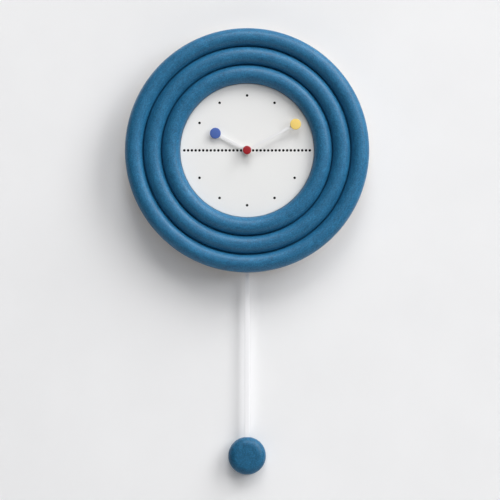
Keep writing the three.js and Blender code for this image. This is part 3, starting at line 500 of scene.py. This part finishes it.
def bar_profile(ring_radius):
    """A round bar with a flat back, whose back edges are eased."""
    lift = math.degrees(math.acos((BAR_DEPTH - RING_BACK) / BAR_RADIUS))
    start = lift - 90 + EASED_TURN
    end = 270 - lift - EASED_TURN
    round_part = arc(BAR_RADIUS, start, end, BAR_STEPS, ring_radius, BAR_DEPTH)
    half_flat = BAR_RADIUS * math.sin(math.radians(lift)) - EASED_FLAT
    flat = [(ring_radius - half_flat, RING_BACK), (ring_radius + half_flat, RING_BACK)]
    return round_part + flat


for place_name in ("outer", "middle", "inner"):
    node = f"ring_{place_name}"
    profile = bar_profile(radius_of(node) - BAR_RADIUS)
    ring = turned(f"blue_ring_{place_name}", profile, ROUND_STEPS, HANDS, closed=True)
    place(ring, "clock", "blue_wood", RING_FINISH, node)

# ---------------------------------------------------------------- bob

BOB_BACK, BOB_FRONT = depths("pendulum_bob")
BOB_STEPS = 128
FRONT_ROUNDING = 10.5 * MM
BACK_ROUNDING = 5 * MM


def bob_profile():
    """A thick disc, rounded far in at the front and less at the back."""
    front_arc = arc(
        FRONT_ROUNDING, 0, 90, 18, BOB_RADIUS - FRONT_ROUNDING, BOB_FRONT - FRONT_ROUNDING
    )
    back_arc = arc(BACK_ROUNDING, -90, 0, 12, BOB_RADIUS - BACK_ROUNDING, BOB_BACK + BACK_ROUNDING)
    return [(0, BOB_BACK)] + back_arc + front_arc + [(0, BOB_FRONT)]


def cut(piece, tool):
    """Cuts one piece out of another, and throws the tool away."""
    modifier = piece.modifiers.new("cut", "BOOLEAN")
    modifier.operation = "DIFFERENCE"
    modifier.object = tool
    graph = bpy.context.evaluated_depsgraph_get()
    made = bpy.data.meshes.new_from_object(piece.evaluated_get(graph))
    piece.modifiers.clear()
    piece.data = made
    shade(made)
    bpy.data.objects.remove(tool)


ROD_LOW, ROD_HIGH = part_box("pendulum_rod")
ROD_BACK, ROD_FRONT = depths("pendulum_rod")
ROD_WIDTH = 5.5 * MM
SLOT_ROOM = 0.2 * MM
SLOT_END_ROOM = 0.4 * MM
SLOT_PAST_RIM = 1.1  # the tool's top, as a share of the bob's radius
BOB_SCREW = middle("bob_screw")
WELL_RADIUS = 2.8 * MM
WELL_DEPTH = 4.6 * MM
WELL_STEPS = 48


def slot_tool():
    """The upright slot that the rod slides into from above."""
    half = ROD_WIDTH / 2 + SLOT_ROOM
    foot = ROD_LOW.z - BOB.z - SLOT_END_ROOM
    top = BOB_RADIUS * SLOT_PAST_RIM
    outline = [(-half, foot), (half, foot), (half, top), (-half, top)]
    return slab("slot_tool", outline, ROD_BACK - SLOT_ROOM, ROD_FRONT + SLOT_ROOM, BOB)


def well_tool():
    """The round well in the bob's back that the screw sits in."""
    profile = [(0, 0), (WELL_RADIUS, 0), (WELL_RADIUS, WELL_DEPTH), (0, WELL_DEPTH)]
    return turned("well_tool", profile, WELL_STEPS, BOB_SCREW)


bob = turned("blue_bob", bob_profile(), BOB_STEPS, BOB)
cut(bob, slot_tool())
cut(bob, well_tool())
place(bob, "pendulum", "blue_wood", BOB_SHADED_STAIN, "pendulum_bob")

# ---------------------------------------------------------------- dial

DIAL_HOLE = 3.8 * MM
DIAL_EDGE = 0.25 * MM
DIAL_RADIUS = radius_of("dial_plate")
DIAL_STEPS = 192


def dial_profile():
    """A disc with a hole, whose two front edges are eased."""
    return [
        (DIAL_HOLE, DIAL_BACK),
        (DIAL_RADIUS, DIAL_BACK),
        (DIAL_RADIUS, DIAL_FRONT - DIAL_EDGE),
        (DIAL_RADIUS - DIAL_EDGE, DIAL_FRONT),
        (DIAL_HOLE + DIAL_EDGE, DIAL_FRONT),
        (DIAL_HOLE, DIAL_FRONT - DIAL_EDGE),
    ]


dial = turned("dial_face", dial_profile(), DIAL_STEPS, HANDS, closed=True)
place(dial, "clock", "white_dial", DIAL_FINISH, "dial_plate")

DOT_CORNERS = 20
DOT_RADIUS = 1.6 * MM
DOT_HEIGHT = 0.05 * MM
HOUR_DOT_REACH = 67.4 * MM
ROW_PITCH = 4.64 * MM
ROW_START = 7.4 * MM
ROW_DOTS = 16


def dot_places():
    """Dots at the hours except three and nine, and a row of dots across the middle."""
    hours = [h for h in range(12) if h not in (3, 9)]
    turns = [math.radians(30 * h) for h in hours]
    round_dial = [(HOUR_DOT_REACH * math.sin(t), HOUR_DOT_REACH * math.cos(t)) for t in turns]
    reach = [ROW_START + ROW_PITCH * i for i in range(ROW_DOTS)]
    return round_dial + [(side * x, 0.0) for side in (-1, 1) for x in reach]


def print_dots():
    """Every dot as a very low round pad on the dial, in one piece."""
    vertices = []
    faces = []
    for x, z in dot_places():
        low = len(vertices)
        high = low + DOT_CORNERS
        for lift in (0.0, DOT_HEIGHT):
            for px, pz in arc(DOT_RADIUS, 0, 360, DOT_CORNERS, x, z)[:-1]:
                vertices.append((HANDS.x + px, -DIAL_FRONT - lift, HANDS.z + pz))
        faces.append([low + i for i in range(DOT_CORNERS)])
        faces.append([high + i for i in range(DOT_CORNERS)])
        for i in range(DOT_CORNERS):
            j = (i + 1) % DOT_CORNERS
            faces.append([low + i, low + j, high + j, high + i])
    return new_piece("dial_print", vertices, faces)


place(print_dots(), "clock", "black_plastic", ink())

# ---------------------------------------------------------------- hands

ARM_WIDTH = 3.3 * MM
ARM_EDGE = 0.22 * MM
HUB_RADIUS = 6 * MM
PAD_RADIUS = 4 * MM
HOUR_BORE = 2.65 * MM
MINUTE_BORE = 1.5 * MM
BUTTON_EDGE = 0.7 * MM
BUTTON_DOME = 0.25 * MM
BUTTON_FOOT = 0.15 * MM
BUTTON_STEPS = 72


def hand_outline(length):
    """A hand that points up: a round hub, a straight arm and a round pad."""
    half = ARM_WIDTH / 2
    hub_turn = math.degrees(math.asin(half / HUB_RADIUS))
    pad_turn = math.degrees(math.asin(half / PAD_RADIUS))
    hub = arc(HUB_RADIUS, 90 + hub_turn, 450 - hub_turn, 48)
    pad = arc(PAD_RADIUS, pad_turn - 90, 270 - pad_turn, 28, 0, length)
    return hub + pad


def turn_about_hands(piece, clockwise):
    """Turns a piece's mesh by an angle in radians about the axis of the hands."""
    spin = Matrix.Rotation(clockwise, 4, "Y")
    piece.data.transform(Matrix.Translation(HANDS) @ spin @ Matrix.Translation(-HANDS))


def button_profile(node):
    """A turned button of a CAD node's size: a rounded edge and a very slightly domed face."""
    radius = radius_of(node)
    back, front = depths(node)
    foot = [(0, back), (radius - BUTTON_FOOT, back), (radius, back + BUTTON_FOOT)]
    rim = arc(BUTTON_EDGE, 0, 90, 8, radius - BUTTON_EDGE, front - BUTTON_DOME - BUTTON_EDGE)
    shares = (0.7, 0.5, 0.3, 0.12)
    face = [(radius * share, front - BUTTON_DOME * share * share) for share in shares]
    return foot + rim + face + [(0, front)]


def make_hand(name, bore, colour_name, code):
    """A hand's arm and the button at its tip, turned to where the CAD button is."""
    arm_node = f"{name}_hand"
    button_node = f"{name}_button"
    back, front = depths(arm_node)
    outline = hand_outline(hand_length(button_node))
    hole = arc(bore, 0, 360, 32)[:-1]
    arm = slab(f"{name}_arm", outline, back, front, HANDS, [hole], bevel=ARM_EDGE)
    turn_about_hands(arm, hand_angle(button_node))
    place(arm, arm_node, "white_coat", HAND_WHITE, arm_node)
    disc = turned(f"{name}_tip", button_profile(button_node), BUTTON_STEPS, middle(button_node))
    enamel = lacquer(f"{colour_name}_enamel", code, 0.5)
    place(disc, arm_node, f"{colour_name}_button", enamel, button_node)


make_hand("hour", HOUR_BORE, "blue", "4563ab")
make_hand("minute", MINUTE_BORE, "yellow", "f2d274")

cap = turned("red_cap", button_profile("centre_cap"), BUTTON_STEPS, HANDS)
place(cap, "minute_hand", "red_cap", lacquer("red_enamel", "9c0c1a", 0.5), "centre_cap")

# ---------------------------------------------------------------- pendulum rod

ROD_EDGE = 0.4 * MM
EYE_RADIUS = 4.3 * MM
EYE = Vector((HANDS.x, 0, ROD_HIGH.z - EYE_RADIUS))
EYE_HOLE_RADIUS = 1.5 * MM
SCREW_HOLE_RADIUS = 1.4 * MM


def rod_outline():
    """A long strip that hangs from a round eye."""
    half = ROD_WIDTH / 2
    turn = math.degrees(math.asin(half / EYE_RADIUS))
    eye = arc(EYE_RADIUS, turn - 90, 270 - turn, 36)
    end = ROD_LOW.z - EYE.z
    return eye + [(-half, end), (half, end)]


eye_hole = arc(EYE_HOLE_RADIUS, 0, 360, 28)[:-1]
screw_hole = arc(SCREW_HOLE_RADIUS, 0, 360, 20, 0, BOB_SCREW.z - EYE.z)[:-1]
rod_holes = [eye_hole, screw_hole]
rod = slab("rod_strip", rod_outline(), ROD_BACK, ROD_FRONT, EYE, rod_holes, bevel=ROD_EDGE)
place(rod, "pendulum", "white_coat", ROD_WHITE, "pendulum_rod")

# ---------------------------------------------------------------- screws

# Each size is the radius of the head, the height of the head and the radius of the shank.
RING_SCREW = (3.2 * MM, 1.4 * MM, 1.5 * MM)
HANGER_SCREW = (2.8 * MM, 1.2 * MM, 1.3 * MM)
SMALL_SCREW = (2.4 * MM, 1.3 * MM, 1.1 * MM)
SCREW_STEPS = 40
POINT_LENGTH = 2.2 * MM
NEXT_SCREW_TURN = 0.7  # radians, so that no two cross recesses stand alike
ORIGIN = Vector((0, 0, 0))

# Shares of the head's height and radius.
HEAD_ROUNDING = 0.75
RECESS_DEPTH = 0.7
RECESS_REACH = 0.55
RECESS_HALF_WIDTH = 0.13


def recess_tool(half_x, half_z, depth):
    """One bar of the cross recess."""
    corners = [(-half_x, -half_z), (half_x, -half_z), (half_x, half_z), (-half_x, half_z)]
    return slab("recess_tool", corners, -MM, depth, ORIGIN)


def make_screw(name, head_radius, head_height, shank_radius, length):
    """A pan-head screw at the origin with a cross recess. Its head's back is at depth 0."""
    rounding = head_height * HEAD_ROUNDING
    head = arc(rounding, -90, 0, 8, head_radius - rounding, rounding)
    profile = [(0, 0)] + head + [
        (head_radius, head_height),
        (shank_radius, head_height),
        (shank_radius, length - POINT_LENGTH),
        (0, length),
    ]
    piece = turned(name, profile, SCREW_STEPS, ORIGIN)
    reach = head_radius * RECESS_REACH
    half_width = head_radius * RECESS_HALF_WIDTH
    for half_x, half_z in ((reach, half_width), (half_width, reach)):
        cut(piece, recess_tool(half_x, half_z, head_height * RECESS_DEPTH))
    piece.data.materials.append(STEEL)
    return piece


def fit_screws(nodes, sizes, body):
    """One screw shape for a family of like CAD screws, placed where each of them is."""
    low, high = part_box(nodes[0])
    first = make_screw(f"{nodes[0]}_fine", *sizes, high.y - low.y)
    others = [add_object(f"{node}_fine", first.data) for node in nodes[1:]]
    for index, (node, piece) in enumerate(zip(nodes, [first] + others)):
        at = middle(node)
        back, front = depths(node)
        piece.location = (at.x, -back, at.z)
        piece.rotation_euler = (0, NEXT_SCREW_TURN * index, 0)
        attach(piece, body)
        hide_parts(node)


ring_screws = [f"{p}_ring_screw_{i}" for p in ("inner", "middle", "outer") for i in (1, 2, 3)]
fit_screws(ring_screws, RING_SCREW, "clock")
fit_screws(["hanger_screw_1", "hanger_screw_2"], HANGER_SCREW, "clock")
fit_screws(["bob_screw"], SMALL_SCREW, "pendulum")

# ---------------------------------------------------------------- backing plate and rim

PLATE_EDGE = 0.5 * MM
CASE_ROOM = 1 * MM
CASE_CORNER = 3 * MM
RIM_WALL = 6 * MM
RIM_EDGE = 0.6 * MM
RIM_STEPS = 220
NOTCH_HALF_WIDTH = 20 * MM


def make_plate():
    """A round board with an opening that the movement goes through."""
    back, front = depths("backing_plate")
    low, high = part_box("movement_front_case")
    outline = arc(radius_of("backing_plate"), 0, 360, ROUND_STEPS)[:-1]
    opening = rounded_box(
        low.x - CASE_ROOM - HANDS.x,
        high.x + CASE_ROOM - HANDS.x,
        low.z - CASE_ROOM - HANDS.z,
        high.z + CASE_ROOM - HANDS.z,
        CASE_CORNER,
    )
    return slab("birch_plate", outline, back, front, HANDS, [opening], bevel=PLATE_EDGE)


def make_rim():
    """A round wall behind the plate, with a notch below for the pendulum rod."""
    back, front = depths("rear_rim")
    radius = radius_of("rear_rim")
    notch = math.degrees(math.asin(NOTCH_HALF_WIDTH / radius))
    outer = arc(radius, notch - 90, 270 - notch, RIM_STEPS)
    inner = arc(radius - RIM_WALL, 270 - notch, notch - 90, RIM_STEPS)
    return slab("birch_rim", outer + inner, back, front, HANDS, bevel=RIM_EDGE)


place(make_plate(), "clock", "plain_wood", BIRCH, "backing_plate")
place(make_rim(), "clock", "plain_wood", BIRCH, "rear_rim")

# ---------------------------------------------------------------- ribs moulded on the rear cover

RIB_COUNT = 7
RIB_PITCH = 4.5 * MM
RIB_HALF_LENGTH = 19 * MM
RIB_HALF_HEIGHT = 0.8 * MM
RIB_CORNER = 0.6 * MM
RIB_EDGE = 0.2 * MM
RIB_PROUD = 0.5 * MM
RIB_SUNK = 0.1 * MM
LOWEST_RIB = 12 * MM


def cover_ribs():
    """A field of shallow ribs across the lower part of the cover, joined to one piece."""
    low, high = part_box("movement_rear_cover")
    back = -high.y - RIB_PROUD
    front = -high.y + RIB_SUNK
    centre = Vector(((low.x + high.x) / 2, 0, low.z + LOWEST_RIB))
    work = bmesh.new()
    for i in range(RIB_COUNT):
        bottom = i * RIB_PITCH - RIB_HALF_HEIGHT
        top = i * RIB_PITCH + RIB_HALF_HEIGHT
        outline = rounded_box(-RIB_HALF_LENGTH, RIB_HALF_LENGTH, bottom, top, RIB_CORNER)
        rib = slab("rib", outline, back, front, centre, bevel=RIB_EDGE)
        work.from_mesh(rib.data)
        bpy.data.objects.remove(rib)
    mesh = bpy.data.meshes.new("cover_ribs")
    work.to_mesh(mesh)
    work.free()
    return add_object("cover_ribs", mesh)


place(cover_ribs(), "clock", "black_plastic", BLACK)

# ---------------------------------------------------------------- CAD pieces that keep their shape

WELD_WITHIN = 1e-6
EASE_STEPS = 2
EASE_ABOVE = math.radians(40)


def dress(node, material, bevel=0.12 * MM):
    """Gives a CAD node its finish and softens its corners, unless the bevel is 0."""
    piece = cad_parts[node]
    piece.data.materials.clear()
    piece.data.materials.append(material)
    weld = piece.modifiers.new("weld", "WELD")
    weld.merge_threshold = WELD_WITHIN
    if bevel:
        ease = piece.modifiers.new("ease", "BEVEL")
        ease.width = bevel
        ease.segments = EASE_STEPS
        ease.limit_method = "ANGLE"
        ease.angle_limit = EASE_ABOVE


cell_low, cell_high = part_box("battery_cell")
dress("movement_front_case", BLACK, 0.3 * MM)
dress("movement_rear_cover", BLACK, 0.3 * MM)
dress("train_plate", NYLON)
dress("sealing_washer", RUBBER)
dress("fixing_nut", BRASS, 0.2 * MM)
dress("hanger_strap", STEEL, 0.15 * MM)
dress("battery_cell", cell_wrap(cell_low.x, cell_high.x), 0.1 * MM)
dress("battery_contact_positive", STEEL, 0)
dress("battery_contact_negative", STEEL, 0)
dress("stator", STEEL, 0)
dress("coil_winding", COPPER, 0)
dress("circuit_board", BOARD, 0)
dress("quartz_crystal", STEEL, 0)
dress("drive_coil", COPPER, 0.3 * MM)
dress("pendulum_pivot_pin", STEEL, 0.1 * MM)
dress("rotor", DARK_STEEL, 0)
for wheel in ("intermediate", "seconds", "third", "centre", "minute"):
    dress(f"{wheel}_wheel", NYLON, 0)
dress("minute_arbor", BRASS, 0)
dress("hour_wheel", BRASS, 0)
dress("setting_knob", BLACK, 0.08 * MM)
dress("pendulum_lever", NYLON, 0.2 * MM)
dress("lever_magnet", DARK_STEEL, 0.3 * MM)

# ---------------------------------------------------------------- wall and floor

WALL_REACH = 1.2
WALL_BEHIND = 0.0006
FLOOR_REACH = 3.4
FLOOR_DROP = 2.0


def wall_paint():
    """Pale plaster seen from the front, and nothing at all from behind."""
    n = Nodes("wall_paint")
    cloud = n.noise(n.position(), 9.0, 4.0, 0.5)
    colour = n.ramp(cloud, (0.3, srgb("f1f1f2")), (0.7, srgb("f4f4f5")))
    n.set(Base_Color=colour, Roughness=0.9, Specular_IOR_Level=0.1)
    output = n.tree.nodes["Material Output"]
    behind = n.add("ShaderNodeNewGeometry").outputs["Backfacing"]
    clear = n.add("ShaderNodeBsdfTransparent")
    either = n.add("ShaderNodeMixShader")
    n.tree.links.new(behind, either.inputs[0])
    n.tree.links.new(n.shader.outputs[0], either.inputs[1])
    n.tree.links.new(clear.outputs[0], either.inputs[2])
    n.tree.links.new(either.outputs[0], output.inputs["Surface"])
    return n.material


def floor_paint():
    """Pale grey with faint clouds."""
    n = Nodes("floor_paint")
    cloud = n.noise(n.position(), 5.0, 3.0, 0.5)
    colour = n.ramp(cloud, (0.3, srgb("c4c4c5")), (0.7, srgb("c9c9ca")))
    return n.set(Base_Color=colour, Roughness=0.8)


def stage_sheet(name, corners, material):
    """A flat sheet with four corners that belongs to the stage and not to the clock."""
    mesh = bpy.data.meshes.new(name)
    mesh.from_pydata(corners, [], [(0, 1, 2, 3)])
    mesh.materials.append(material)
    sheet = add_object(name, mesh)
    return sheet


def make_wall(floor_z):
    """A wall just behind the clock, which lets the rear lights through."""
    left, right, top = -WALL_REACH, WALL_REACH, WALL_REACH
    outline = [(left, floor_z), (right, floor_z), (right, top), (left, top)]
    wall = stage_sheet("wall", [(x, WALL_BEHIND, z) for x, z in outline], wall_paint())
    wall.visible_shadow = False


def make_floor(floor_z):
    """A floor far below the clock."""
    signs = [(-1, -1), (1, -1), (1, 1), (-1, 1)]
    corners = [(sx * FLOOR_REACH, sy * FLOOR_REACH, floor_z) for sx, sy in signs]
    stage_sheet("floor", corners, floor_paint())


make_wall(cad_box[0].z - FLOOR_DROP)
make_floor(cad_box[0].z - FLOOR_DROP)


# ---------------------------------------------------------------- lights and backdrop

AIM = Vector((0.0, 0.0, -0.2))
STUDIO_REACH = 9.0
SOFTBOX = 0.5  # a softbox's width, as a share of its distance


def studio_light(name, direction, share, watts, distance=STUDIO_REACH):
    """A round softbox that faces the clock. Its size is a share of its distance."""
    data = bpy.data.lights.new(name, "AREA")
    data.shape = "DISK"
    data.size = share * distance
    data.energy = watts
    position = AIM + Vector(direction).normalized() * distance
    lamp = add_object(name, data)
    lamp.location = position
    lamp.rotation_euler = (AIM - position).to_track_quat("-Z", "Y").to_euler()
    lamp.visible_camera = False


studio_light("room", (0.3, -1.0, 0.7), 2.0, 550)
studio_light("side", (1.5, -1.0, 0.6), SOFTBOX, 263)
studio_light("top", (0.1, -1.0, 1.6), SOFTBOX, 345)
studio_light("rake", (1.2, -0.6, 1.4), SOFTBOX, 460)
studio_light("rear_left", (-0.9, 1.8, 0.9), SOFTBOX, 17, distance=2.5)
studio_light("rear_right", (1.1, 1.6, 0.2), SOFTBOX, 8, distance=2.3)


def studio_world():
    """Hardly any light of its own, and a pale backdrop where the camera looks past the stage."""
    world = bpy.data.worlds.new("studio")
    world.use_nodes = True
    tree = world.node_tree
    dim = tree.nodes["Background"]
    dim.inputs["Color"].default_value = (0.93, 0.94, 0.96, 1.0)
    dim.inputs["Strength"].default_value = 0.01
    backdrop = tree.nodes.new("ShaderNodeBackground")
    backdrop.inputs["Color"].default_value = (*srgb("e4e5e8"), 1.0)
    seen = tree.nodes.new("ShaderNodeLightPath").outputs["Is Camera Ray"]
    either = tree.nodes.new("ShaderNodeMixShader")
    tree.links.new(seen, either.inputs[0])
    tree.links.new(dim.outputs[0], either.inputs[1])
    tree.links.new(backdrop.outputs[0], either.inputs[2])
    tree.links.new(either.outputs[0], tree.nodes["World Output"].inputs["Surface"])
    return world


bpy.context.scene.world = studio_world()
bpy.context.scene.view_settings.view_transform = "Standard"

# ---------------------------------------------------------------- camera

CAMERA_DISTANCE = 2.8
VIEW_WIDTH = 0.6135
VIEW_RIGHT = 0.0036
VIEW_DOWN = 0.1223
SENSOR = 36.0


def make_camera():
    """A camera that looks straight at the wall, from in front of and below the hands."""
    data = bpy.data.cameras.new("camera")
    data.sensor_width = SENSOR
    data.lens = SENSOR * CAMERA_DISTANCE / VIEW_WIDTH
    camera = add_object("camera", data)
    camera.location = (HANDS.x + VIEW_RIGHT, -BAR_DEPTH - CAMERA_DISTANCE, HANDS.z - VIEW_DOWN)
    camera.rotation_euler = (math.pi / 2, 0, 0)
    return camera


bpy.context.scene.camera = make_camera()
